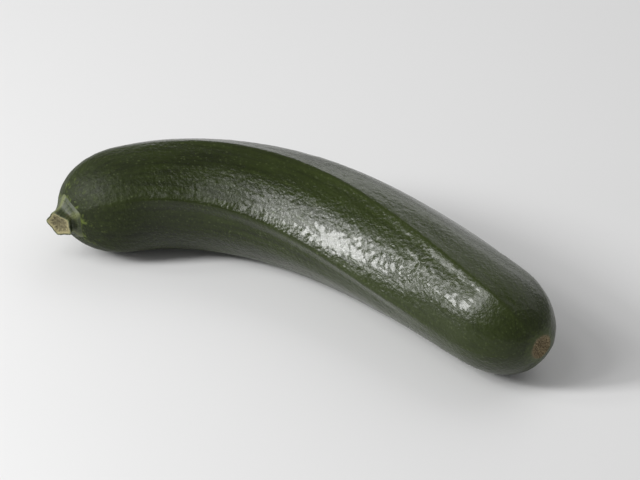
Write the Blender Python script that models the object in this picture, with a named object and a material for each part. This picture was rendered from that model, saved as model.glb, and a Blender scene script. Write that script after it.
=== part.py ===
"""A courgette as picked: one curved, ribbed fruit with the cut stub of its stem.

It lies as it comes to rest on a table. The origin is under the middle of it, on
the table, +X runs from the stem to the blossom end, and the hollow side of the
bend faces -Y. Sizes are in metres and angles in degrees.
"""

import math

import bmesh
import bpy
from mathutils import Matrix, Vector

# Fruit: its length runs along the middle of the bend, and most of the bend is near the stem.
FRUIT_LENGTH = 0.250
FRUIT_RADIUS = 0.0250
BEND = 82.2
BEND_SKEW = 1.2
BELLY_AT = 0.130
BELLY_TAPER = 0.42
SHOULDER_LENGTH = 0.027
SHOULDER_POWER = 2.2
TIP_LENGTH = 0.030
TIP_POWER = 2.2

# Ribs: five that run on from the angles of the stem, and five fainter ones between them. A rib's
# height is a share of the fruit's radius, and RIB_SUNK is the share of it below the mean surface.
MAIN_RIBS = 5
RIB_HEIGHT = 0.042
RIB_SOFTNESS = 0.16
RIB_SUNK = 0.3
RIB_PHASE = 4.0
RIB_TWIST = -46.0
FAINT_RIB_SHARE = 0.72

# Ends of the fruit: the seat that the stem grows from, and the scar that the flower left.
SEAT_RADIUS = 0.0086
SCAR_RADIUS = 0.0066
SCAR_DEPTH = 0.0009

# Stem: a five-sided stub that flares where it meets the fruit. Its ridges are a share of its
# radius, and they reach their height at the share STEM_RIDGES_FULL_AT of its length.
STEM_LENGTH = 0.0058
STEM_RADIUS = 0.0058
STEM_FLARE_LENGTH = 0.0034
STEM_CUT_SWELL = 0.0006
STEM_CUT_HOLLOW = 0.0008
STEM_RIDGE_HEIGHT = 0.20
STEM_RIDGE_SOFTNESS = 0.30
STEM_RIDGES_FULL_AT = 0.5
STEM_BEND = 30.0
STEM_GAP = 0.0003

# Mesh fineness: points around a section fall on every rib.
FRUIT_AROUND = 60
FRUIT_RINGS = 46
STEM_AROUND = 30
STEM_RINGS = 14
BEND_STEPS = 240

FRUIT_SKIN = ("courgette_skin", (0.045, 0.075, 0.018, 1.0), 0.30)
STEM_SKIN = ("courgette_stem", (0.230, 0.300, 0.110, 1.0), 0.55)


def clear_scene():
    """Removes every object, so that the script gives the same result each run."""
    for obj in list(bpy.data.objects):
        bpy.data.objects.remove(obj, do_unlink=True)


def surface(name, colour, roughness):
    """A Principled material of one colour."""
    material = bpy.data.materials.new(name)
    material.use_nodes = True
    shader = material.node_tree.nodes["Principled BSDF"]
    shader.inputs["Base Color"].default_value = colour
    shader.inputs["Roughness"].default_value = roughness
    shader.inputs["Metallic"].default_value = 0.0
    return material


def heading(share):
    """The direction of the fruit's middle line in the XY plane, in radians, at a share of its length."""
    turned = share + BEND_SKEW * math.sin(math.pi * share) / math.pi
    return math.radians(BEND) * (0.5 - turned)


def middle_line():
    """Points along the fruit's middle line, from the stem to the tip, evenly spaced."""
    step = FRUIT_LENGTH / BEND_STEPS
    points = [Vector((0.0, 0.0, 0.0))]
    for i in range(BEND_STEPS):
        angle = heading((i + 0.5) / BEND_STEPS)
        points.append(points[-1] + step * Vector((math.cos(angle), math.sin(angle), 0.0)))
    return points


MIDDLE_LINE = middle_line()


def middle_at(along):
    """The point of the middle line at a distance from the stem end."""
    place = min(max(along / FRUIT_LENGTH, 0.0), 1.0) * BEND_STEPS
    first = min(int(place), BEND_STEPS - 1)
    return MIDDLE_LINE[first].lerp(MIDDLE_LINE[first + 1], place - first)


def section_point(centre, angle, radius, around):
    """A point of the section at centre, where the middle line heads along angle. Around is 0 on the outside."""
    outward = Vector((-math.sin(angle), math.cos(angle), 0.0))
    down = Vector((0.0, 0.0, -1.0))
    return centre + radius * (math.cos(around) * outward + math.sin(around) * down)


def rounded_end(distance, length, power, start):
    """1 in the body of the fruit, falling on a superellipse to start at the end, over length."""
    skipped = 1.0 - (1.0 - start**power) ** (1.0 / power)
    reached = skipped + (1.0 - skipped) * min(max(distance / length, 0.0), 1.0)
    return (1.0 - (1.0 - reached) ** power) ** (1.0 / power)


def fruit_radius(along):
    """The fruit's mean radius at a distance from its stem end."""
    belly = 1.0 - BELLY_TAPER * ((along - BELLY_AT) / FRUIT_LENGTH) ** 2
    shoulder = rounded_end(along, SHOULDER_LENGTH, SHOULDER_POWER, SEAT_RADIUS / FRUIT_RADIUS)
    tip = rounded_end(FRUIT_LENGTH - along, TIP_LENGTH, TIP_POWER, SCAR_RADIUS / FRUIT_RADIUS)
    return FRUIT_RADIUS * belly * shoulder * tip


def ridge(around, count, softness):
    """1 on each of count ridges round a section, falling to near 0 between them."""
    wave = math.sin(0.5 * count * around)
    return 1.0 - math.sqrt((wave * wave + softness * softness) / (1.0 + softness * softness))


def rib_factor(around):
    """How far the ribs lift the fruit's surface, as a factor on its radius."""
    main_share = 0.5 * (1.0 + math.cos(MAIN_RIBS * around))
    strength = FAINT_RIB_SHARE + (1.0 - FAINT_RIB_SHARE) * main_share
    return 1.0 + RIB_HEIGHT * (strength * ridge(around, 2 * MAIN_RIBS, RIB_SOFTNESS) - RIB_SUNK)


def fruit_point(share, around, closing):
    """The fruit's surface at a share of its length. Closing is -1 in mid seat, 1 in mid scar, and else 0."""
    along = share * FRUIT_LENGTH
    angle = heading(share)
    if closing:
        tangent = Vector((math.cos(angle), math.sin(angle), 0.0))
        return middle_at(along) - (SCAR_DEPTH if closing > 0 else 0.0) * tangent
    twisted = around + math.radians(RIB_PHASE + RIB_TWIST * share)
    return section_point(middle_at(along), angle, fruit_radius(along) * rib_factor(around), twisted)


def stem_radius(along):
    """The stem's mean radius at a distance from the fruit: a flare, a waist and a swelling at the cut."""
    flare = max(1.0 - along / STEM_FLARE_LENGTH, 0.0) ** 2
    swell = STEM_CUT_SWELL * (along / STEM_LENGTH) ** 3
    return STEM_RADIUS + (SEAT_RADIUS - STEM_RADIUS) * flare + swell


def stem_point(share, around, closing):
    """The stem's surface, from share 0 at its foot to 1 at its cut. Closing is -1 and 1 in their middles."""
    along = share * STEM_LENGTH
    start = heading(0.0)
    turned = start + math.radians(STEM_BEND) * share
    lean = start + 0.5 * math.radians(STEM_BEND) * share
    centre = -(STEM_GAP + along) * Vector((math.cos(lean), math.sin(lean), 0.0))
    if closing:
        tangent = Vector((math.cos(turned), math.sin(turned), 0.0))
        return centre + (STEM_CUT_HOLLOW if closing > 0 else 0.0) * tangent
    grown = min(share / STEM_RIDGES_FULL_AT, 1.0)
    lift = STEM_RIDGE_HEIGHT * grown * (ridge(around, MAIN_RIBS, STEM_RIDGE_SOFTNESS) - 0.5)
    return section_point(centre, turned, stem_radius(along) * (1.0 + lift), around + math.radians(RIB_PHASE))


def carried_sphere(name, around_count, ring_count, place, turn):
    """A sphere whose rings are carried to the sections that place gives, as one closed mesh.

    The first and last rings become the rims of the ends, and the poles the middles of those ends.
    Turn is 1 where place runs towards +X, and -1 where it runs towards -X, so that faces look out.
    """
    bm = bmesh.new()
    bmesh.ops.create_uvsphere(bm, u_segments=around_count, v_segments=ring_count, radius=1.0)
    rim = math.cos(math.pi / ring_count)
    pole = 0.5 * (1.0 + rim)
    for vertex in bm.verts:
        height = vertex.co.z
        share = min(max(0.5 * (1.0 - height / rim), 0.0), 1.0)
        closing = 0 if abs(height) < pole else (-1 if height > 0.0 else 1)
        vertex.co = place(share, turn * math.atan2(vertex.co.y, vertex.co.x), closing)
    mesh = bpy.data.meshes.new(name)
    bm.to_mesh(mesh)
    bm.free()
    mesh.shade_smooth()
    return mesh


def centre_of_mass(meshes):
    """The centre of mass of closed meshes of one density."""
    volume, moment = 0.0, Vector()
    for mesh in meshes:
        mesh.calc_loop_triangles()
        for triangle in mesh.loop_triangles:
            a, b, c = (mesh.vertices[i].co for i in triangle.vertices)
            part = a.dot(b.cross(c)) / 6.0
            volume += part
            moment += part * (a + b + c) / 4.0
    return moment / volume


def stands_over(point, corners, normal):
    """True if the point lies over the triangle of corners, seen along normal."""
    for i in range(3):
        edge = corners[(i + 1) % 3] - corners[i]
        if edge.cross(point - corners[i]).dot(normal) < 0.0:
            return False
    return True


def footing(meshes):
    """The outward normal of the three points that the meshes rest on, of those nearest to straight down."""
    centre = centre_of_mass(meshes)
    hull = bmesh.new()
    for mesh in meshes:
        for vertex in mesh.vertices:
            hull.verts.new(vertex.co)
    bmesh.ops.convex_hull(hull, input=list(hull.verts))
    found = []
    for face in hull.faces:
        corners = [vertex.co.copy() for vertex in face.verts]
        normal = (corners[1] - corners[0]).cross(corners[2] - corners[0]).normalized()
        if normal.dot(corners[0] - centre) < 0.0:
            corners.reverse()
            normal.negate()
        if stands_over(centre, corners, normal):
            found.append(normal)
    hull.free()
    return max(found, key=lambda normal: -normal.z)


def resting_place(meshes):
    """The matrix that lays the meshes down, lengthwise along X, with the origin under their middle."""
    down = Vector((0.0, 0.0, -1.0))
    settled = footing(meshes).rotation_difference(down).to_matrix().to_4x4()
    length = settled @ (middle_at(FRUIT_LENGTH) - middle_at(0.0))
    settled = Matrix.Rotation(-math.atan2(length.y, length.x), 4, "Z") @ settled
    points = [settled @ vertex.co for mesh in meshes for vertex in mesh.vertices]
    low = Vector([min(p[k] for p in points) for k in range(3)])
    high = Vector([max(p[k] for p in points) for k in range(3)])
    middle = Vector((0.5 * (low.x + high.x), 0.5 * (low.y + high.y), low.z))
    return Matrix.Translation(-middle) @ settled


def main():
    """Makes the fruit and its stem, and lays them down together."""
    clear_scene()
    collection = bpy.data.collections.new("courgette")
    bpy.context.scene.collection.children.link(collection)
    fruit = carried_sphere("fruit", FRUIT_AROUND, FRUIT_RINGS, fruit_point, 1)
    stem = carried_sphere("stem", STEM_AROUND, STEM_RINGS, stem_point, -1)
    fruit.materials.append(surface(*FRUIT_SKIN))
    stem.materials.append(surface(*STEM_SKIN))
    place = resting_place([fruit, stem])
    for mesh in (fruit, stem):
        obj = bpy.data.objects.new(mesh.name, mesh)
        collection.objects.link(obj)
        obj.matrix_world = place


main()
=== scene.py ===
"""A courgette as it looks: waxy, flecked skin over soft ribs, the scar of its flower and a cut stem.

Sizes are in metres and angles in degrees unless a name says otherwise. The skin and the stem take the
place of the solids of the loaded frame, on a pale studio floor under soft lights.
"""

from __future__ import annotations

import logging
import math
from dataclasses import dataclass, field
from enum import Enum

import bmesh
import bpy
import numpy as np
from mathutils import Euler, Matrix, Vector, noise


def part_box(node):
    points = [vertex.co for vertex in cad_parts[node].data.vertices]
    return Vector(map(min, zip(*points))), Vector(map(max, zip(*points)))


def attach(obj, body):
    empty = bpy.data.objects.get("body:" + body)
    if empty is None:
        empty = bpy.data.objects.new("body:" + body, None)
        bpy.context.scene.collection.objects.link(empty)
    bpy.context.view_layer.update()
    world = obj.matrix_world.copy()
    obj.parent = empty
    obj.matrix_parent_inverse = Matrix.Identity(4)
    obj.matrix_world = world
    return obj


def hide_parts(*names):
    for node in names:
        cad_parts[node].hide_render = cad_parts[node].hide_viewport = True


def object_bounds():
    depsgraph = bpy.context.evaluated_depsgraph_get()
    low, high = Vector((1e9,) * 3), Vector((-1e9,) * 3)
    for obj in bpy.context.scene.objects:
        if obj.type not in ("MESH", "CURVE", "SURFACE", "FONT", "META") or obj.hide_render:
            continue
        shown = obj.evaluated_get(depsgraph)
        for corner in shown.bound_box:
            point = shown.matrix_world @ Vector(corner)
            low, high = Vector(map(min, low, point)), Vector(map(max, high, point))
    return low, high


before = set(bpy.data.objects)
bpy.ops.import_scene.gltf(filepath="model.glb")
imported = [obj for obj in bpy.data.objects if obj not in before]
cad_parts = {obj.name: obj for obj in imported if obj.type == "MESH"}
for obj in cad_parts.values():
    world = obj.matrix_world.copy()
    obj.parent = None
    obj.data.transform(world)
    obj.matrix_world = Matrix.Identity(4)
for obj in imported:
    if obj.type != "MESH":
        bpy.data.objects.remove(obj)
CAD_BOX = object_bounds()

MM = 1000.0
LOG = logging.getLogger("courgette")

Colour = tuple[float, float, float]
Pair = tuple[float, float]


# --- Shader maths ---


class Value:
    """A shader socket that Python arithmetic works on."""

    def __init__(self, graph: Graph, socket: bpy.types.NodeSocket) -> None:
        """Wraps a socket of a graph."""
        self.graph = graph
        self.socket = socket

    def maths(self, operation: str, *operands: Operand) -> Value:
        """Adds a Math node.

        Args:
            operation: The Math node's operation.
            operands: Its inputs, in order.

        Returns:
            The node's result.
        """
        return self.graph.node("ShaderNodeMath", {"operation": operation}, dict(enumerate(operands)))

    def __add__(self, other: Operand) -> Value:
        """self + other."""
        return self.maths("ADD", self, other)

    def __radd__(self, other: Operand) -> Value:
        """other + self."""
        return self.maths("ADD", other, self)

    def __sub__(self, other: Operand) -> Value:
        """self - other."""
        return self.maths("SUBTRACT", self, other)

    def __rsub__(self, other: Operand) -> Value:
        """other - self."""
        return self.maths("SUBTRACT", other, self)

    def __mul__(self, other: Operand) -> Value:
        """self * other."""
        return self.maths("MULTIPLY", self, other)

    def __rmul__(self, other: Operand) -> Value:
        """other * self."""
        return self.maths("MULTIPLY", other, self)

    def larger(self, other: Operand) -> Value:
        """The larger of self and other."""
        return self.maths("MAXIMUM", self, other)

    def rise(self, low: float, high: float) -> Value:
        """A smooth step.

        Args:
            low: Where it gives 0.
            high: Where it gives 1. It may be below low, for a step down.

        Returns:
            The step of self.
        """
        if low > high:
            return 1.0 - self.rise(high, low)
        settings = {"interpolation_type": "SMOOTHSTEP", "clamp": True}
        inputs = {"Value": self, "From Min": low, "From Max": high}
        return self.graph.node("ShaderNodeMapRange", settings, inputs)


Operand = Value | float | int


class Graph:
    """The node graph of one material, with a Principled shader at its end."""

    def __init__(self, name: str) -> None:
        """Starts a material of that name."""
        self.material = bpy.data.materials.new(name)
        self.material.use_nodes = True
        self.tree = self.material.node_tree
        self.shader = self.tree.nodes["Principled BSDF"]

    def node(
        self,
        kind: str,
        settings: dict[str, object],
        inputs: dict[int | str, object],
        output: int | str = 0,
    ) -> Value:
        """Adds a node.

        Args:
            kind: The node's type.
            settings: Its properties, set before its sockets are looked up.
            inputs: Values or links of its sockets, by number, name or identifier.
            output: The socket that the result comes from.

        Returns:
            The chosen output.
        """
        made = self.tree.nodes.new(kind)
        for key, value in settings.items():
            setattr(made, key, value)
        for key, value in inputs.items():
            self.feed(self.pick(made.inputs, key), value)
        return Value(self, self.pick(made.outputs, output))

    @staticmethod
    def pick(sockets: bpy.types.bpy_prop_collection, key: int | str) -> bpy.types.NodeSocket:
        """The socket with that number, identifier or name."""
        if isinstance(key, int):
            return sockets[key]
        by_identifier = [socket for socket in sockets if socket.identifier == key]
        return by_identifier[0] if by_identifier else sockets[key]

    def feed(self, socket: bpy.types.NodeSocket, value: object) -> None:
        """Sets a socket to a number, a colour or vector, or links it to a Value."""
        if isinstance(value, Value):
            self.tree.links.new(value.socket, socket)
        elif isinstance(value, tuple) and socket.type == "RGBA":
            socket.default_value = (*value, 1.0)
        else:
            socket.default_value = value

    def surface(self, **inputs: object) -> None:
        """Feeds the Principled shader's sockets, named with _ for a space."""
        for name, value in inputs.items():
            socket_name = name.replace("_", " ").title().replace("Ior", "IOR")
            self.feed(self.shader.inputs[socket_name], value)

    def mark(self, name: str) -> Value:
        """A number that the mesh holds for each of its points."""
        return self.node("ShaderNodeAttribute", {"attribute_name": name}, {}, "Fac")

    def place(self, name: str) -> Value:
        """A vector that the mesh holds for each of its points."""
        return self.node("ShaderNodeAttribute", {"attribute_name": name}, {}, "Vector")

    def scaled(self, vector: Value, by: tuple[float, float, float]) -> Value:
        """The vector times by, axis for axis."""
        return self.node("ShaderNodeVectorMath", {"operation": "MULTIPLY"}, {0: vector, 1: by})

    def axis(self, vector: Value, name: str) -> Value:
        """One coordinate of a vector: X, Y or Z."""
        return self.node("ShaderNodeSeparateXYZ", {}, {0: vector}, name)

    def cloud(self, place: Value, noise_field: Cloud) -> Value:
        """Soft noise about 0.5.

        Args:
            place: Where it is read.
            noise_field: Its size and layers.

        Returns:
            The noise.
        """
        inputs = {
            "Vector": self.scaled(place, (1.0, 1.0, noise_field.stretch)),
            "Scale": noise_field.scale,
            "Detail": noise_field.detail,
            "Roughness": noise_field.roughness,
        }
        return self.node("ShaderNodeTexNoise", {"noise_dimensions": "3D"}, inputs, "Fac")

    def cells(self, place: Value, scale: float, stretch: float) -> tuple[Value, Value]:
        """Loosely scattered cells.

        Args:
            place: Where they are read.
            scale: Cells per unit of place.
            stretch: The share of that on the third axis.

        Returns:
            The distance to the nearest cell's middle, and a number from 0 to 1 for that cell.
        """
        inputs = {"Vector": self.scaled(place, (1.0, 1.0, stretch)), "Scale": scale, "Randomness": 1.0}
        near = self.node("ShaderNodeTexVoronoi", {"feature": "F1"}, inputs, "Distance")
        colour = Value(self, near.socket.node.outputs["Color"])
        return near, self.axis(colour, "X")

    def blend(self, share: Operand, start: Value | Colour, end: Value | Colour) -> Value:
        """A colour between start, where share is 0, and end, where it is 1."""
        inputs = {"Factor_Float": share, "A_Color": start, "B_Color": end}
        return self.node("ShaderNodeMix", {"data_type": "RGBA", "clamp_factor": True}, inputs, "Result_Color")

    def bump(self, height: Value, distance: float, strength: float = 1.0) -> Value:
        """A Bump node.

        Args:
            height: The height, as a share of distance.
            distance: The height of 1, in metres.
            strength: How much of it shows.

        Returns:
            The bumped normal.
        """
        return self.node("ShaderNodeBump", {}, {"Height": height, "Distance": distance, "Strength": strength})


@dataclass(frozen=True)
class Cloud:
    """Soft noise: its lumps per unit of place, and its finer layers.

    A stretch below 1 draws the lumps out along the third axis.
    """

    scale: float
    stretch: float = 1.0
    detail: float = 4.0
    roughness: float = 0.6


# --- Finishes ---


@dataclass(frozen=True)
class SkinFinish:
    """The waxy skin: dark green, clouded and streaked, with pale flecks, a pale neck and a corky scar.

    Its noises are read in millimetres, with the third axis along the fruit. Reaches are in millimetres
    from an end, and shares say how much of a colour is laid on.
    """

    deep: Colour = (0.0068, 0.0095, 0.0013)
    green: Colour = (0.019, 0.028, 0.004)
    pale: Colour = (0.060, 0.082, 0.017)
    fleck: Colour = (0.105, 0.133, 0.048)
    flame: Colour = (0.170, 0.220, 0.042)
    cork: Colour = (0.300, 0.240, 0.140)
    dark_cork: Colour = (0.105, 0.080, 0.043)

    clouds: Cloud = Cloud(0.085, 0.35)
    streaks: Cloud = Cloud(0.50, 0.06)
    mottle: Cloud = Cloud(0.80, 0.60, 3.0)
    rays: Cloud = Cloud(0.42, 0.08, 3.0)
    corkiness: Cloud = Cloud(1.6, 1.0, 4.0, 0.65)
    smears: Cloud = Cloud(0.16, 0.45, 4.0, 0.65)
    cloud_share: float = 1.1
    streak_share: float = 1.3
    mottle_share: float = 0.7
    light_towards_tip: float = 0.50
    lightening_reach: Pair = (60.0, 180.0)
    rib_paleness: float = 0.10
    streak_paleness: float = 0.25

    neck_reach: float = 20.0
    neck_edge: Pair = (0.54, 0.74)
    neck_share: float = 0.42
    neck_thickening: float = 0.14
    neck_thickening_reach: float = 6.0
    ring_reach: Pair = (17.0, 7.0)
    ring_edge: Pair = (0.46, 0.72)
    ring_share: float = 0.55
    ring_thickening: float = 0.22
    ring_thickening_reach: Pair = (12.0, 6.5)
    cork_edge: Pair = (0.40, 0.62)

    crowding: Cloud = Cloud(0.07, 0.35, 3.0, 0.5)
    large_fleck_cells: Pair = (0.30, 0.55)
    large_fleck_edge: Pair = (0.17, 0.05)
    large_fleck_crowding: float = 0.8
    large_fleck_choice: Pair = (0.85, 1.20)
    large_fleck_share: float = 0.34
    small_fleck_cells: Pair = (0.62, 0.75)
    small_fleck_edge: Pair = (0.34, 0.10)
    small_fleck_chance: float = 0.7
    small_fleck_choice: Pair = (0.35, 1.15)
    small_fleck_share: float = 0.24

    spot_cells: Pair = (0.045, 0.8)
    spot_wobble: Cloud = Cloud(1.3, 1.0, 2.0)
    spot_wobble_width: float = 0.03
    spot_choice: Pair = (0.62, 0.66)
    spot_edge: Pair = (0.040, 0.028)
    spot_rim_outer: Pair = (0.052, 0.042)
    spot_rim_inner: Pair = (0.030, 0.038)
    spot_rim_share: float = 0.6

    roughness: float = 0.24
    smear_roughness: float = 0.26
    mottle_roughness: float = 0.10
    scar_roughness: float = 0.45
    spot_roughness: float = 0.25
    fleck_roughness: float = 0.06
    neck_roughness: float = 0.32
    neck_dull_reach: Pair = (54.0, 14.0)
    tip_roughness: float = 0.10
    tip_dull_reach: Pair = (80.0, 45.0)
    wax: float = 0.18
    wax_roughness: float = 0.10
    wax_from: Pair = (15.0, 60.0)
    ior: float = 1.31

    pebbles: Cloud = Cloud(0.80, 0.80, 2.0, 0.5)
    lines: Cloud = Cloud(2.2, 0.04, 2.0, 0.5)
    pores: Cloud = Cloud(3.4, 1.0, 2.0)
    line_height: float = 0.12
    pore_height: float = 0.06
    fleck_height: float = 0.10
    spot_depth: float = 0.3
    relief_height: float = 0.00030

    def material(self) -> bpy.types.Material:
        """The skin's material. It reads the marks and places that Skin writes."""
        graph = Graph("waxy_skin")
        grown = graph.place("grown_mm")
        scar = graph.mark("scar")
        from_stem = graph.mark("from_stem_mm")
        from_tip = graph.mark("from_tip_mm")
        mottle = graph.cloud(grown, self.mottle)
        flecks = self.flecks(graph, grown)
        spots, spot_rim = self.spots(graph, grown)

        ground = self.greens(graph, grown, mottle, from_stem)
        ground = graph.blend(flecks, ground, self.fleck)
        rays = graph.cloud(grown, self.rays)
        neck_rays = rays + from_stem.rise(self.neck_thickening_reach, 0.0) * self.neck_thickening
        neck = from_stem.rise(self.neck_reach, 1.0) * neck_rays.rise(*self.neck_edge)
        ground = graph.blend(neck * self.neck_share, ground, self.flame)
        ring_rays = rays + from_tip.rise(*self.ring_thickening_reach) * self.ring_thickening
        ring = from_tip.rise(*self.ring_reach) * ring_rays.rise(*self.ring_edge)
        ground = graph.blend(ring * self.ring_share, ground, self.pale)
        ground = graph.blend(spots, ground, self.cork)
        ground = graph.blend(spot_rim, ground, self.dark_cork)
        corkiness = graph.cloud(grown, self.corkiness).rise(*self.cork_edge)
        ground = graph.blend(scar, ground, graph.blend(corkiness, self.dark_cork, self.cork))

        dull = scar * self.scar_roughness + spots * self.spot_roughness + flecks * self.fleck_roughness
        dull = dull + from_stem.rise(*self.neck_dull_reach) * self.neck_roughness
        dull = dull + from_tip.rise(*self.tip_dull_reach) * self.tip_roughness
        smears = (graph.cloud(grown, self.smears) - 0.5) * self.smear_roughness
        roughness = self.roughness + smears + (mottle - 0.5) * self.mottle_roughness + dull
        wax = self.wax * (1.0 - scar) * from_stem.rise(*self.wax_from)
        normal = self.relief(graph, grown, flecks, spots)
        graph.surface(base_color=ground, roughness=roughness, normal=normal, coat_weight=wax)
        graph.surface(coat_roughness=self.wax_roughness, ior=self.ior)
        return graph.material

    def greens(self, graph: Graph, grown: Value, mottle: Value, from_stem: Value) -> Value:
        """The clouded and streaked greens, paler on the ribs and lighter towards the tip.

        Args:
            graph: The material's graph.
            grown: The place on the skin, in millimetres.
            mottle: The finest noise of the colour.
            from_stem: The distance from the stem end, in millimetres.

        Returns:
            The colour.
        """
        clouds = graph.cloud(grown, self.clouds)
        streaks = graph.cloud(grown, self.streaks)
        tone = (clouds - 0.5) * self.cloud_share + (streaks - 0.5) * self.streak_share
        tone = tone + (mottle - 0.5) * self.mottle_share + 0.5
        tone = tone + from_stem.rise(*self.lightening_reach) * self.light_towards_tip
        paleness = graph.mark("rib") * self.rib_paleness + (streaks - 0.5) * self.streak_paleness
        return graph.blend(paleness, graph.blend(tone, self.deep, self.green), self.pale)

    def flecks(self, graph: Graph, grown: Value) -> Value:
        """Pale flecks, a few large and many fine, drawn out along the fruit.

        Args:
            graph: The material's graph.
            grown: The place on the skin, in millimetres.

        Returns:
            How much each point belongs to a fleck.
        """
        crowd = graph.cloud(grown, self.crowding)
        large, large_kind = graph.cells(grown, *self.large_fleck_cells)
        small, small_kind = graph.cells(grown, *self.small_fleck_cells)
        large_choice = large_kind + crowd * self.large_fleck_crowding
        small_choice = small_kind * self.small_fleck_chance + crowd
        large_mask = large.rise(*self.large_fleck_edge) * large_choice.rise(*self.large_fleck_choice)
        small_mask = small.rise(*self.small_fleck_edge) * small_choice.rise(*self.small_fleck_choice)
        return (large_mask * self.large_fleck_share).larger(small_mask * self.small_fleck_share)

    def spots(self, graph: Graph, grown: Value) -> tuple[Value, Value]:
        """Small corky blemishes.

        Args:
            graph: The material's graph.
            grown: The place on the skin, in millimetres.

        Returns:
            The masks of the spots and of their dark rims.
        """
        wobble = graph.cloud(grown, self.spot_wobble)
        near, kind = graph.cells(grown, *self.spot_cells)
        edge = near + (wobble - 0.5) * self.spot_wobble_width
        chosen = kind.rise(*self.spot_choice)
        rim = edge.rise(*self.spot_rim_outer) * edge.rise(*self.spot_rim_inner)
        return edge.rise(*self.spot_edge) * chosen, rim * chosen * self.spot_rim_share

    def relief(self, graph: Graph, grown: Value, flecks: Value, spots: Value) -> Value:
        """The fine relief of the skin: pores, pebbling and lengthwise lines.

        Args:
            graph: The material's graph.
            grown: The place on the skin, in millimetres.
            flecks: The mask of the flecks, which stand up a little.
            spots: The mask of the blemishes, which are sunk.

        Returns:
            The bumped normal.
        """
        pebbles = graph.cloud(grown, self.pebbles)
        lines = graph.cloud(grown, self.lines) * self.line_height
        pores = graph.cloud(grown, self.pores) * self.pore_height
        height = pebbles + lines + pores + flecks * self.fleck_height - spots * self.spot_depth
        return graph.bump(height, self.relief_height)


@dataclass(frozen=True)
class StemFinish:
    """The stub: dark green and fibrous with pale ridges, and a drying cut face. The darkness of its green is
    painted shade.
    """

    # Painted shade: the side's green is darkened so the stub looks shaded.
    green: Colour = (0.026, 0.036, 0.010)
    pale: Colour = (0.180, 0.200, 0.080)
    cream: Colour = (0.310, 0.275, 0.140)
    brown: Colour = (0.060, 0.050, 0.022)

    fibres: Cloud = Cloud(1.5, 0.12, 3.0)
    blotches: Cloud = Cloud(0.35, 1.0, 3.0)
    grain: Cloud = Cloud(0.9)
    ridge_edge: Pair = (0.25, 0.95)
    ridge_paleness: float = 0.85
    fibre_share: float = 1.1
    blotch_edge: Pair = (0.54, 0.72)
    blotch_share: float = 0.6
    foot_share: float = 0.5
    core_edge: Pair = (0.06, 0.34)
    drying_share: float = 0.75
    grain_share: float = 1.1
    strand_share: float = 0.55

    roughness: float = 0.55
    fibre_roughness: float = 0.2
    cut_roughness: float = 0.2
    fibre_height: float = 0.5
    grain_height: float = 0.35
    relief_height: float = 0.00035
    relief_strength: float = 0.8

    def material(self) -> bpy.types.Material:
        """The stem's material. It reads the marks and places that StemStub writes."""
        graph = Graph("cut_stem")
        grown = graph.place("grown_mm")
        cut = graph.mark("cut")
        fibres = graph.cloud(grown, self.fibres)
        grain = graph.cloud(grown, self.grain)
        colour = graph.blend(cut, self.side(graph, grown, fibres), self.face(graph, grain))
        roughness = self.roughness + (fibres - 0.5) * self.fibre_roughness + cut * self.cut_roughness
        relief = fibres * self.fibre_height + grain * self.grain_height * cut
        normal = graph.bump(relief, self.relief_height, self.relief_strength)
        graph.surface(base_color=colour, roughness=roughness, normal=normal)
        return graph.material

    def side(self, graph: Graph, grown: Value, fibres: Value) -> Value:
        """The shaft and the foot.

        Args:
            graph: The material's graph.
            grown: The place on the stub, in millimetres.
            fibres: The noise of its fibres.

        Returns:
            Their colour: a dark green that is painted shade, pale on the ridges, with brown blotches.
        """
        ridges = graph.mark("rib").rise(*self.ridge_edge)
        paleness = ridges * self.ridge_paleness + (fibres - 0.5) * self.fibre_share
        side = graph.blend(paleness, self.green, self.pale)
        blotches = graph.cloud(grown, self.blotches).rise(*self.blotch_edge)
        side = graph.blend(blotches * self.blotch_share, side, self.brown)
        # The foot goes back towards the same painted-shade dark green.
        return graph.blend(graph.mark("foot") * self.foot_share, side, self.green)

    def face(self, graph: Graph, grain: Value) -> Value:
        """The cut face.

        Args:
            graph: The material's graph.
            grain: The noise of its grain.

        Returns:
            Its colour: cream at the rim, and browner and grained inside it.
        """
        core = graph.mark("core").rise(*self.core_edge)
        drying = core * self.drying_share + (grain - 0.5) * self.grain_share
        face = graph.blend(drying, self.cream, self.brown)
        return graph.blend(graph.mark("strand") * self.strand_share, face, self.cream)


@dataclass(frozen=True)
class FloorFinish:
    """The pale, matt studio floor."""

    colour: Colour = (0.72, 0.72, 0.72)
    shade: float = 0.97
    grain: Cloud = Cloud(3.0, 1.0, 2.0, 0.5)
    roughness: float = 0.9

    def material(self) -> bpy.types.Material:
        """The floor's material."""
        graph = Graph("pale_floor")
        grain = graph.cloud(graph.node("ShaderNodeTexCoord", {}, {}, "Object"), self.grain)
        shade = tuple(self.shade * part for part in self.colour)
        graph.surface(base_color=graph.blend(grain, self.colour, shade), roughness=self.roughness)
        return graph.material


# --- Form ---


def ridge(around: np.ndarray, count: int, softness: float) -> np.ndarray:
    """Ridges round a section.

    Args:
        around: Angles round the section, in radians.
        count: How many ridges there are.
        softness: How round they are.

    Returns:
        1 on each ridge, falling to near 0 between them.
    """
    wave = np.sin(0.5 * count * around)
    return 1.0 - np.sqrt((wave**2 + softness**2) / (1.0 + softness**2))


def smooth_step(value: np.ndarray, low: float, high: float) -> np.ndarray:
    """0 below low and 1 above high, with a smooth rise between them."""
    share = np.clip((value - low) / (high - low), 0.0, 1.0)
    return share * share * (3.0 - 2.0 * share)


def bell(value: np.ndarray, at: float, width: float) -> np.ndarray:
    """1 where value is at, falling towards 0 on both sides of it."""
    return np.exp(-(((value - at) / width) ** 2))


def soft_noise(places: np.ndarray, size: tuple[float, float, float], seed: float) -> np.ndarray:
    """Noise read at many places.

    Args:
        places: Points, in rows.
        size: The size of a lump along each axis, in the places' unit.
        seed: A shift that makes one noise unlike another.

    Returns:
        A number from about -1 to 1 for each point.
    """
    scaled = places / np.array(size) + seed
    return np.array([noise.noise(Vector(point)) for point in scaled.tolist()])


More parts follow.
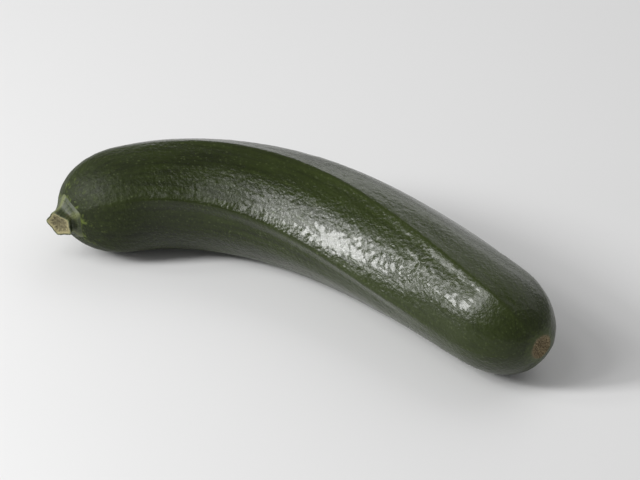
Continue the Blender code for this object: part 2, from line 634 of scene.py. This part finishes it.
@dataclass
class FruitForm:
    """The fruit's shape: a middle line that bends in a plane, with round, ribbed sections along it."""

    length: float = 0.250
    radius: float = 0.0250
    bend: float = 82.2
    bend_skew: float = 1.2
    belly_at: float = 0.130
    belly_taper: float = 0.42
    shoulder_length: float = 0.027
    shoulder_power: float = 2.2
    tip_length: float = 0.030
    tip_power: float = 2.2
    main_ribs: int = 5
    rib_height: float = 0.042
    rib_softness: float = 0.16
    rib_sunk: float = 0.3
    rib_phase: float = 4.0
    rib_twist: float = -46.0
    faint_rib_share: float = 0.72
    seat_radius: float = 0.0086
    scar_radius: float = 0.0066
    lie: tuple[float, float, float] = (3.7634, -1.8881, 20.7474)
    steps: int = 480
    shift: np.ndarray = field(default_factory=lambda: np.zeros(3))

    def __post_init__(self) -> None:
        """Works out the middle line, and lays the form where the frame's fruit lies."""
        shares = (np.arange(self.steps) + 0.5) / self.steps
        headings = self.heading(shares)
        stride = np.stack([np.cos(headings), np.sin(headings), 0.0 * headings], 1) * self.length / self.steps
        self.line = np.vstack([np.zeros(3), np.cumsum(stride, 0)])
        self.turn = np.array(Euler([math.radians(angle) for angle in self.lie]).to_matrix())
        around = np.linspace(0.0, 2.0 * math.pi, 60, endpoint=False)
        shares = np.linspace(0.0, 1.0, 400)
        shell = self.surface(shares[:, None], around[None, :]).reshape(-1, 3)
        low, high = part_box("fruit")
        self.shift = 0.5 * (np.array(low) + np.array(high)) - 0.5 * (shell.min(0) + shell.max(0))

    def heading(self, share: np.ndarray) -> np.ndarray:
        """The middle line's direction in its plane, in radians, at shares of its length."""
        turned = share + self.bend_skew * np.sin(math.pi * share) / math.pi
        return math.radians(self.bend) * (0.5 - turned)

    def middle(self, share: np.ndarray) -> np.ndarray:
        """The points of the middle line at shares of its length, in its plane."""
        knots = np.linspace(0.0, 1.0, self.steps + 1)
        return np.stack([np.interp(share, knots, self.line[:, k]) for k in range(3)], -1)

    def axes(self, share: np.ndarray) -> tuple[np.ndarray, np.ndarray, np.ndarray]:
        """The directions along the middle line, to the bend's outer side, and down."""
        angle = self.heading(share)
        zero = 0.0 * angle
        along = np.stack([np.cos(angle), np.sin(angle), zero], -1)
        outward = np.stack([-np.sin(angle), np.cos(angle), zero], -1)
        return along, outward, np.stack([zero, zero, zero - 1.0], -1)

    @staticmethod
    def rounded_end(distance: np.ndarray, length: float, power: float, start: float) -> np.ndarray:
        """1 in the body of the fruit, falling on a superellipse to start at the end, over length."""
        skipped = 1.0 - (1.0 - start**power) ** (1.0 / power)
        reached = skipped + (1.0 - skipped) * np.clip(distance / length, 0.0, 1.0)
        return (1.0 - (1.0 - reached) ** power) ** (1.0 / power)

    def mean_radius(self, share: np.ndarray) -> np.ndarray:
        """The section's mean radius at shares of the length."""
        along = share * self.length
        belly = 1.0 - self.belly_taper * ((along - self.belly_at) / self.length) ** 2
        seat, scar = self.seat_radius / self.radius, self.scar_radius / self.radius
        shoulder = self.rounded_end(along, self.shoulder_length, self.shoulder_power, seat)
        tip = self.rounded_end(self.length - along, self.tip_length, self.tip_power, scar)
        return self.radius * belly * shoulder * tip

    def ribs(self, around: np.ndarray) -> np.ndarray:
        """How high the ribs stand round a section, from 0 between them to 1 on the five main ones."""
        main_share = 0.5 * (1.0 + np.cos(self.main_ribs * around))
        strength = self.faint_rib_share + (1.0 - self.faint_rib_share) * main_share
        return strength * ridge(around, 2 * self.main_ribs, self.rib_softness)

    def laid(self, points: np.ndarray) -> np.ndarray:
        """Points of the plane's own frame, moved to where the fruit lies."""
        return points @ self.turn.T + self.shift

    def section(self, share: np.ndarray, around: np.ndarray, radius: np.ndarray) -> np.ndarray:
        """Points of sections.

        Args:
            share: Shares of the length.
            around: Angles from a rib, in radians, before the twist.
            radius: Distances from the middle line.

        Returns:
            The points, in the plane's own frame.
        """
        _, outward, down = self.axes(share)
        twisted = around + np.radians(self.rib_phase + self.rib_twist * share)
        spoke = np.cos(twisted)[..., None] * outward + np.sin(twisted)[..., None] * down
        return self.middle(share) + radius[..., None] * spoke

    def surface(self, share: np.ndarray, around: np.ndarray) -> np.ndarray:
        """The plain surface at shares of the length and angles from a rib, where the fruit lies."""
        share, around = np.broadcast_arrays(share, around)
        lift = 1.0 + self.rib_height * (self.ribs(around) - self.rib_sunk)
        return self.laid(self.section(share, around, self.mean_radius(share) * lift))


def sphere_grid(name: str, rings: int, around: int) -> tuple[bpy.types.Mesh, np.ndarray, np.ndarray]:
    """A closed sphere mesh to be carried to another form.

    Args:
        name: The mesh's name.
        rings: Rings from pole to pole, without the poles.
        around: Points on each ring.

    Returns:
        The mesh, and for each of its points its place from 0 at one pole to 1 at the other, and its
        angle round the axis.
    """
    bm = bmesh.new()
    bmesh.ops.create_uvsphere(bm, u_segments=around, v_segments=rings + 1, radius=1.0)
    mesh = bpy.data.meshes.new(name)
    bm.to_mesh(mesh)
    bm.free()
    points = np.empty(len(mesh.vertices) * 3)
    mesh.vertices.foreach_get("co", points)
    points = points.reshape(-1, 3)
    down_share = np.arccos(np.clip(points[:, 2], -1.0, 1.0)) / math.pi
    return mesh, down_share, np.arctan2(points[:, 1], points[:, 0])


def write_points(mesh: bpy.types.Mesh, points: np.ndarray) -> None:
    """Moves a mesh's points, and shades it smooth."""
    mesh.vertices.foreach_set("co", points.astype(np.float32).ravel())
    mesh.shade_smooth()
    mesh.update()


def write_mark(mesh: bpy.types.Mesh, name: str, values: np.ndarray) -> None:
    """Stores a number or a vector for each of a mesh's points, for its material."""
    kind = "FLOAT_VECTOR" if values.ndim == 2 else "FLOAT"
    mark = mesh.attributes.new(name, kind, "POINT")
    mark.data.foreach_set("vector" if values.ndim == 2 else "value", values.astype(np.float32).ravel())


def point_normals(mesh: bpy.types.Mesh) -> np.ndarray:
    """The normals of a mesh's points."""
    normals = np.empty(len(mesh.vertices) * 3, np.float32)
    mesh.vertex_normals.foreach_get("vector", normals)
    return normals.reshape(-1, 3).astype(float)


class Part(Enum):
    """The courgette's pieces, by the names of the solids that they stand for."""

    FRUIT = "fruit"
    STEM = "stem"


PIECE_NAMES = {Part.FRUIT: "courgette_skin", Part.STEM: "courgette_stem_stub"}


def add_piece(part: Part, mesh: bpy.types.Mesh, material: bpy.types.Material) -> bpy.types.Object:
    """Puts a mesh in the scene in place of its solid.

    Args:
        part: Which solid it stands for.
        mesh: Its mesh, in the row's frame.
        material: Its finish.

    Returns:
        The new object.
    """
    piece = bpy.data.objects.new(PIECE_NAMES[part], mesh)
    bpy.context.scene.collection.objects.link(piece)
    mesh.materials.append(material)
    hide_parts(part.value)
    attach(piece, "root")
    LOG.info("%s: %d faces, in place of %s", piece.name, len(mesh.polygons), part.value)
    return piece


@dataclass(frozen=True)
class Fold:
    """A sharp edge along one rib, at an angle round the fruit.

    Flat and steep are its widths, as angles, on the sides of larger and of smaller ones. First and last
    are the shares of the fruit's length that it runs between.
    """

    at: float
    height: float
    flat: float
    steep: float
    first: float
    last: float
    onset: float = 0.14
    fading: float = 0.24
    flat_power: float = 1.5
    edge_width: float = 1.5

    def height_at(self, share: np.ndarray, around: np.ndarray) -> np.ndarray:
        """How far it stands out at shares of the length and angles in radians, in metres."""
        angle = (np.degrees(around) - self.at + 180.0) % 360.0 - 180.0
        above = np.clip(1.0 - np.clip(angle, 0.0, None) / self.flat, 0.0, 1.0) ** self.flat_power
        below = smooth_step(angle, -self.steep, self.edge_width)
        begun = smooth_step(share, self.first, self.first + self.onset)
        ended = smooth_step(share, self.last - self.fading, self.last)
        return self.height * above * below * begun * (1.0 - ended)


@dataclass(frozen=True)
class Unevenness:
    """A noise that moves a surface.

    Its height is in metres and the size of its lumps in millimetres. The seed makes it its own.
    """

    height: float
    size: tuple[float, float, float]
    seed: float

    def at(self, grown: np.ndarray) -> np.ndarray:
        """Its noise, from about -1 to 1, at places in millimetres."""
        return soft_noise(grown, self.size, self.seed)


@dataclass
class Skin:
    """The whole outside of the fruit, with the scar at its tip."""

    form: FruitForm
    finish: SkinFinish = field(default_factory=SkinFinish)
    rings: int = 390
    around: int = 240
    scar_edge: float = 0.10
    scar_lip: float = 0.00035
    scar_lip_at: float = 0.88
    scar_lip_width: float = 0.10
    scar_depth: float = 0.0011
    scar_hollow_rim: float = 0.86
    scar_hollow_edge: float = 0.35
    scar_nub: float = 0.0016
    scar_nub_width: float = 0.20
    scar_rays: int = 11
    scar_ray_height: float = 0.00018
    scar_ray_at: float = 0.55
    scar_ray_length: float = 0.25
    rib_height: float = 0.060
    rib_sunk: float = 0.42
    rib_edge: float = 0.03
    rib_fading: float = 0.35
    rib_fading_from: float = 0.75
    rib_unlikeness: float = 0.12
    faint_share: float = 0.25
    slow_wander: float = 0.025
    quick_wander: float = 0.02
    calm_end: float = 0.03
    lumps: Unevenness = Unevenness(0.00035, (38.0, 38.0, 60.0), 3.1)
    waves: Unevenness = Unevenness(0.00010, (9.0, 9.0, 22.0), 11.7)
    pebbles: Unevenness = Unevenness(0.00010, (1.7, 1.7, 2.6), 23.3)
    dents: Unevenness = Unevenness(0.00015, (8.0, 8.0, 14.0), 41.9)
    dent_edge: Pair = (0.25, 0.85)
    sharp_ribs: tuple[Fold, ...] = (
        # At, height, flat, steep, first, last.
        Fold(216.0, 0.0025, 34.0, 13.0, 0.06, 0.88),
        Fold(288.0, 0.0007, 12.0, 11.0, 0.15, 1.12),
        Fold(0.0, 0.0004, 14.0, 12.0, 0.05, 0.90),
        Fold(72.0, 0.0004, 12.0, 14.0, 0.02, 0.95),
        Fold(144.0, 0.0004, 12.0, 12.0, 0.08, 0.88),
    )

    def build(self) -> bpy.types.Object:
        """Makes the skin and dresses it.

        Returns:
            The skin's object.
        """
        mesh, down_share, around = sphere_grid("courgette_skin", self.rings, self.around)
        share, inward, reach = self.profile(down_share)
        lift = 1.0 + self.rib_height * (self.rib_pattern(share, around) - self.rib_sunk)
        radius = (self.form.mean_radius(share) * lift + self.folds(share, around)) * inward
        points = self.form.section(share, around, radius)
        along, _, _ = self.form.axes(share)
        points = points + self.scar_relief(share, inward, around)[:, None] * along
        points = self.form.laid(points)
        write_points(mesh, points)

        spread = self.form.mean_radius(share) * inward * MM
        grown = np.stack([spread * np.cos(around), spread * np.sin(around), reach * MM], 1)
        calm = inward * smooth_step(share, 0.0, self.calm_end) * smooth_step(1.0 - share, 0.0, self.calm_end)
        height = self.undulation(grown) * calm
        points = points + height[:, None] * point_normals(mesh)
        points[:, 2] = np.maximum(points[:, 2], CAD_BOX[0].z)
        write_points(mesh, points)

        total = reach.max() * MM
        write_mark(mesh, "grown_mm", grown)
        write_mark(mesh, "rib", self.rib_pattern(share, around) * smooth_step(share, 0.0, 0.05))
        write_mark(mesh, "scar", smooth_step(1.0 - inward, 0.0, self.scar_edge) * (share > 0.5))
        write_mark(mesh, "from_stem_mm", reach * MM - self.form.seat_radius * MM)
        write_mark(mesh, "from_tip_mm", total - reach * MM)
        return add_piece(Part.FRUIT, mesh, self.finish.material())

    def profile(self, down_share: np.ndarray) -> tuple[np.ndarray, np.ndarray, np.ndarray]:
        """Spaces the rings evenly over the outside, from the middle of the seat to that of the scar.

        Args:
            down_share: Each point's place from one pole of the sphere to the other.

        Returns:
            For each point, its share of the fruit's length, how far out it is on an end's disc, which is
            1 off the discs, and its distance over the outside from the seat's middle.
        """
        fine = np.linspace(0.0, 1.0, 4001)
        radius = self.form.mean_radius(fine)
        stride = np.hypot(np.diff(fine) * self.form.length, np.diff(radius))
        body = np.concatenate([[0.0], np.cumsum(stride)])
        first, last = self.form.seat_radius, self.form.scar_radius
        total = first + body[-1] + last
        reach = down_share * total
        share = np.interp(reach - first, body, fine)
        on_seat = np.clip(reach / first, 0.0, 1.0)
        on_scar = np.clip((total - reach) / last, 0.0, 1.0)
        return share, np.minimum(on_seat, on_scar), reach

    def wandered(self, share: np.ndarray, around: np.ndarray) -> np.ndarray:
        """The angles that the ribs follow: each rib wanders a little on its way."""
        slow = self.slow_wander * np.sin(2.0 * math.pi * share + 3.0 * around)
        return around + slow + self.quick_wander * np.sin(9.0 * share + 2.0 * around)

    def rib_pattern(self, share: np.ndarray, around: np.ndarray) -> np.ndarray:
        """The ribs as grown: each wanders a little, and they fade towards the tip."""
        wandered = self.wandered(share, around)
        main = ridge(wandered, self.form.main_ribs, self.rib_edge)
        faint = (0.5 - 0.5 * np.cos(self.form.main_ribs * wandered)) ** 3
        fade = 1.0 - self.rib_fading * smooth_step(share, self.rib_fading_from, 1.0)
        unlike = 1.0 + self.rib_unlikeness * np.sin(2.0 * around + 5.0 * share)
        return (main + self.faint_share * faint) * fade * unlike

    def folds(self, share: np.ndarray, around: np.ndarray) -> np.ndarray:
        """How far the folds on the ribs stand out, in metres."""
        wandered = self.wandered(share, around)
        return sum(fold.height_at(share, wandered) for fold in self.sharp_ribs)

    def scar_relief(self, share: np.ndarray, inward: np.ndarray, around: np.ndarray) -> np.ndarray:
        """How far the scar stands out along the middle line: a lip, a rayed hollow and a nub."""
        on_tip = (share > 0.5) & (inward < 1.0)
        lip = self.scar_lip * bell(inward, self.scar_lip_at, self.scar_lip_width)
        hollow = self.scar_depth * smooth_step(self.scar_hollow_rim - inward, 0.0, self.scar_hollow_edge)
        nub = self.scar_nub * bell(inward, 0.0, self.scar_nub_width)
        rays = self.scar_ray_height * np.cos(self.scar_rays * around)
        rays = rays * bell(inward, self.scar_ray_at, self.scar_ray_length)
        return np.where(on_tip, lip - hollow + nub + rays, 0.0)

    def undulation(self, grown: np.ndarray) -> np.ndarray:
        """The skin's unevenness, from broad lumps to pebbling and a few dents, in metres."""
        even = sum(layer.height * layer.at(grown) for layer in (self.lumps, self.waves, self.pebbles))
        return even - self.dents.height * smooth_step(self.dents.at(grown), *self.dent_edge)


@dataclass
class StemStub:
    """The cut stub: a star-shaped foot on the fruit's shoulder, a ridged shaft and the cut face."""

    form: FruitForm
    finish: StemFinish = field(default_factory=StemFinish)
    rings: int = 130
    around: int = 150
    length: float = 0.0058
    radius: float = 0.0058
    flare_length: float = 0.0034
    gap: float = 0.0003
    bend: float = 30.0
    ridge_height: float = 0.20
    ridge_softness: float = 0.30
    ridge_at_foot: float = 0.35
    groove_depth: float = 0.05
    groove_softness: float = 0.15
    toe_valley: float = 0.35
    toe_softness: float = 0.45
    toe_lift: Pair = (0.75, 0.65)
    toe_edge: float = 0.95
    toe_length: float = 0.0048
    toe_thickness: float = 0.0007
    toe_sunk: float = 0.00035
    foot_end: float = 0.30
    shaft_end: float = 0.78
    cut_swell: float = 0.0006
    cut_hollow: float = 0.0008
    cut_slope: float = 7.0
    cut_rounding: float = 0.10
    cut_edge: Pair = (0.02, 0.10)
    pith_height: float = 0.0006
    pith_width: float = 0.22
    strands: int = 10
    strand_depth: float = 0.00022
    strand_ring_at: float = 0.66
    strand_ring_width: float = 0.10
    fibres: Unevenness = Unevenness(0.00012, (0.7, 0.7, 4.0), 5.3)
    grain: Unevenness = Unevenness(0.00005, (0.5, 0.5, 0.5), 8.9)

    def build(self) -> bpy.types.Object:
        """Makes the stub and dresses it.

        Returns:
            The stub's object.
        """
        mesh, down_share, around = sphere_grid("courgette_stem_stub", self.rings, self.around)
        around = -around
        toe = np.clip(1.0 - down_share / self.foot_end, 0.0, 1.0)
        up = np.clip((down_share - self.foot_end) / (self.shaft_end - self.foot_end), 0.0, 1.0)
        inward = np.clip((1.0 - down_share) / (1.0 - self.shaft_end), 0.0, 1.0)
        points = self.shaft(up, around, inward)
        on_foot = down_share < self.foot_end
        points[on_foot] = self.foot(toe[on_foot], around[on_foot])
        points = self.form.laid(points)
        write_points(mesh, points)

        spread = self.radius * MM * inward
        lengthwise = (up * self.length - toe * self.toe_length) * MM
        grown = np.stack([spread * np.cos(around), spread * np.sin(around), lengthwise], 1)
        roughened = self.fibres.height * self.fibres.at(grown) + self.grain.height * self.grain.at(grown)
        write_points(mesh, points + (roughened * (1.0 - 0.9 * toe))[:, None] * point_normals(mesh))

        write_mark(mesh, "grown_mm", grown)
        write_mark(mesh, "rib", ridge(around, self.form.main_ribs, self.ridge_softness))
        write_mark(mesh, "cut", smooth_step(1.0 - inward, *self.cut_edge))
        write_mark(mesh, "foot", toe)
        write_mark(mesh, "strand", self.strand_mask(inward, around))
        write_mark(mesh, "core", 1.0 - inward)
        return add_piece(Part.STEM, mesh, self.finish.material())

    def shaft(self, up: np.ndarray, around: np.ndarray, inward: np.ndarray) -> np.ndarray:
        """The shaft and the cut face.

        Args:
            up: Shares of the shaft's length.
            around: Angles round it, in radians.
            inward: How far out a point is on the cut face, which is 1 off it.

        Returns:
            The points, in the plane's own frame.
        """
        start = float(self.form.heading(np.array(0.0)))
        turned = start + math.radians(self.bend) * up
        lean = start + 0.5 * math.radians(self.bend) * up
        zero = 0.0 * up
        along = up * self.length
        tangent = np.stack([np.cos(turned), np.sin(turned), zero], 1)
        outward = np.stack([-np.sin(turned), np.cos(turned), zero], 1)
        down = np.array([0.0, 0.0, -1.0])
        centre = -(self.gap + along)[:, None] * np.stack([np.cos(lean), np.sin(lean), zero], 1)
        ribs = self.form.main_ribs
        flaring = np.clip(1.0 - along / self.flare_length, 0.0, 1.0) ** 2
        flare = (self.form.seat_radius - self.radius) * flaring
        height = self.ridge_at_foot + (1.0 - self.ridge_at_foot) * smooth_step(up, 0.0, 0.5)
        lift = 1.0 + self.ridge_height * height * (ridge(around, ribs, self.ridge_softness) - 0.5)
        groove = 1.0 - self.groove_depth * ridge(around + math.pi / ribs, ribs, self.groove_softness)
        radius = (self.radius + flare + self.cut_swell * up**3) * lift * groove
        on_face = up >= 1.0
        rounding = 1.0 - self.cut_rounding * smooth_step(1.0 - inward, -0.05, 0.12) * on_face
        spoke_angle = around + math.radians(self.form.rib_phase)
        spoke = np.cos(spoke_angle)[:, None] * outward + np.sin(spoke_angle)[:, None] * down
        reach = radius * inward * rounding
        hollow = self.cut_hollow * smooth_step(1.0 - inward, 0.0, 0.5)
        pith = self.pith_height * bell(inward, 0.0, self.pith_width)
        strand = self.strand_depth * self.strand_mask(inward, around)
        slope = math.tan(math.radians(self.cut_slope)) * reach * np.cos(spoke_angle - 0.6)
        raised = (hollow + pith - strand) * on_face + slope * smooth_step(up, 0.6, 1.0)
        return centre + reach[:, None] * spoke + raised[:, None] * tangent

    def strand_mask(self, inward: np.ndarray, around: np.ndarray) -> np.ndarray:
        """The ring of strands that show on the cut face, as a mask."""
        ring = bell(inward, self.strand_ring_at, self.strand_ring_width)
        return ring * smooth_step(np.cos(self.strands * around), 0.25, 0.85)

    def foot(self, toe: np.ndarray, around: np.ndarray) -> np.ndarray:
        """The foot, which lies on the fruit's shoulder.

        Args:
            toe: 0 where the foot meets the shaft, 1 at its edge.
            around: Angles round it, in radians.

        Returns:
            The points, in the plane's own frame.
        """
        lobe = ridge(around, self.form.main_ribs, self.toe_softness)
        reach = self.toe_length * (self.toe_valley + (1.0 - self.toe_valley) * lobe)
        fine = np.linspace(0.0, 0.1, 400)
        radius = self.form.mean_radius(fine)
        stride = np.hypot(np.diff(fine) * self.form.length, np.diff(radius))
        over = np.concatenate([[0.0], np.cumsum(stride)])
        share = np.interp(np.clip(toe / self.toe_edge, 0.0, 1.0) * reach, over, fine)
        lift = 1.0 + self.form.rib_height * (self.form.ribs(around) - self.form.rib_sunk)
        base = self.form.section(share, around, self.form.mean_radius(share) * lift)
        thick = self.toe_thickness * (1.0 - smooth_step(toe, 0.0, self.toe_edge))
        thick = thick - self.toe_sunk * smooth_step(toe, 0.90, 1.0)
        along, _, _ = self.form.axes(share)
        spoke = base - self.form.middle(share)
        spoke = spoke / np.linalg.norm(spoke, axis=1)[:, None]
        outward = self.toe_lift[0] * spoke - self.toe_lift[1] * along
        points = base + thick[:, None] * outward
        return np.where((toe >= 1.0)[:, None], self.form.middle(np.zeros_like(toe)), points)


# --- Studio ---


@dataclass(frozen=True)
class SoftLight:
    """A rectangular soft light that faces the courgette."""

    name: str
    azimuth: float
    elevation: float
    distance: float
    width: float
    height: float
    power: float

    def build(self, target: Vector) -> bpy.types.Object:
        """Hangs the light, facing target.

        Args:
            target: The point that it faces.

        Returns:
            The light's object.
        """
        data = bpy.data.lights.new(self.name, "AREA")
        data.shape = "RECTANGLE"
        data.size = self.width
        data.size_y = self.height
        data.energy = self.power
        light = bpy.data.objects.new(self.name, data)
        bpy.context.scene.collection.objects.link(light)
        light.location = target + self.distance * direction(self.azimuth, self.elevation)
        light.rotation_euler = (target - light.location).to_track_quat("-Z", "Y").to_euler()
        return light


def direction(azimuth: float, elevation: float) -> Vector:
    """The way from the object to a camera or light, where azimuth 0 is towards -Y and 90 towards +X."""
    turn, rise = math.radians(azimuth), math.radians(elevation)
    return Vector((math.sin(turn) * math.cos(rise), -math.cos(turn) * math.cos(rise), math.sin(rise)))


@dataclass
class Studio:
    """A pale floor, soft lights and the camera."""

    floor: FloorFinish = field(default_factory=FloorFinish)
    floor_size: float = 30.0
    world_colour: Colour = (1.0, 1.0, 1.0)
    world_strength: float = 0.28
    lights: tuple[SoftLight, ...] = (
        # Name, azimuth, elevation, distance, width, height, power.
        SoftLight("left_key", -49.0, 30.0, 1.3, 0.24, 0.30, 11.5),
        SoftLight("left_high", -41.0, 47.0, 1.3, 0.36, 0.38, 4.4),
        SoftLight("left_low", -56.0, 13.0, 1.3, 0.22, 0.20, 1.3),
        SoftLight("left_top", -25.0, 66.0, 1.3, 0.42, 0.34, 1.3),
        SoftLight("left_softbox", -67.0, 38.0, 1.35, 0.18, 0.14, 1.6),
        SoftLight("back_strip", -163.0, 13.0, 1.7, 2.2, 0.5, 4.6),
        SoftLight("back_fill", 160.0, 45.0, 1.7, 2.0, 1.2, 6.2),
    )
    camera_azimuth: float = 26.1
    camera_elevation: float = 34.4
    camera_distance: float = 2.69
    lens: float = 350.0

    def build(self) -> None:
        """Lays the floor, hangs the lights and sets up the camera."""
        low, high = CAD_BOX
        middle = 0.5 * (low + high)
        self.lay_floor(low.z)
        self.light_world()
        for light in self.lights:
            light.build(middle)
        self.place_camera(middle)

    def lay_floor(self, height: float) -> None:
        """Lays the floor at a height."""
        bm = bmesh.new()
        bmesh.ops.create_grid(bm, x_segments=8, y_segments=8, size=0.5 * self.floor_size)
        mesh = bpy.data.meshes.new("studio_floor")
        bm.to_mesh(mesh)
        bm.free()
        floor = bpy.data.objects.new("studio_floor", mesh)
        floor.location.z = height
        bpy.context.scene.collection.objects.link(floor)
        mesh.materials.append(self.floor.material())

    def light_world(self) -> None:
        """Fills the surroundings with soft, even light."""
        world = bpy.data.worlds.new("studio_world")
        world.use_nodes = True
        background = world.node_tree.nodes["Background"]
        background.inputs["Color"].default_value = (*self.world_colour, 1.0)
        background.inputs["Strength"].default_value = self.world_strength
        bpy.context.scene.world = world

    def place_camera(self, target: Vector) -> None:
        """Places the camera, facing target."""
        data = bpy.data.cameras.new("studio_camera")
        data.lens = self.lens
        camera = bpy.data.objects.new("studio_camera", data)
        bpy.context.scene.collection.objects.link(camera)
        away = direction(self.camera_azimuth, self.camera_elevation)
        camera.location = target + self.camera_distance * away
        camera.rotation_euler = (target - camera.location).to_track_quat("-Z", "Y").to_euler()
        bpy.context.scene.camera = camera
        bpy.context.scene.view_settings.view_transform = "Standard"


def write_sizes() -> None:
    """Brings the scene's placements up to date."""
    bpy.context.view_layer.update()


def main() -> None:
    """Builds the studio and the courgette."""
    logging.basicConfig(level=logging.INFO, format="%(name)s: %(message)s")
    Studio().build()
    form = FruitForm()
    Skin(form).build()
    StemStub(form).build()
    write_sizes()


if __name__ == "__main__":
    main()
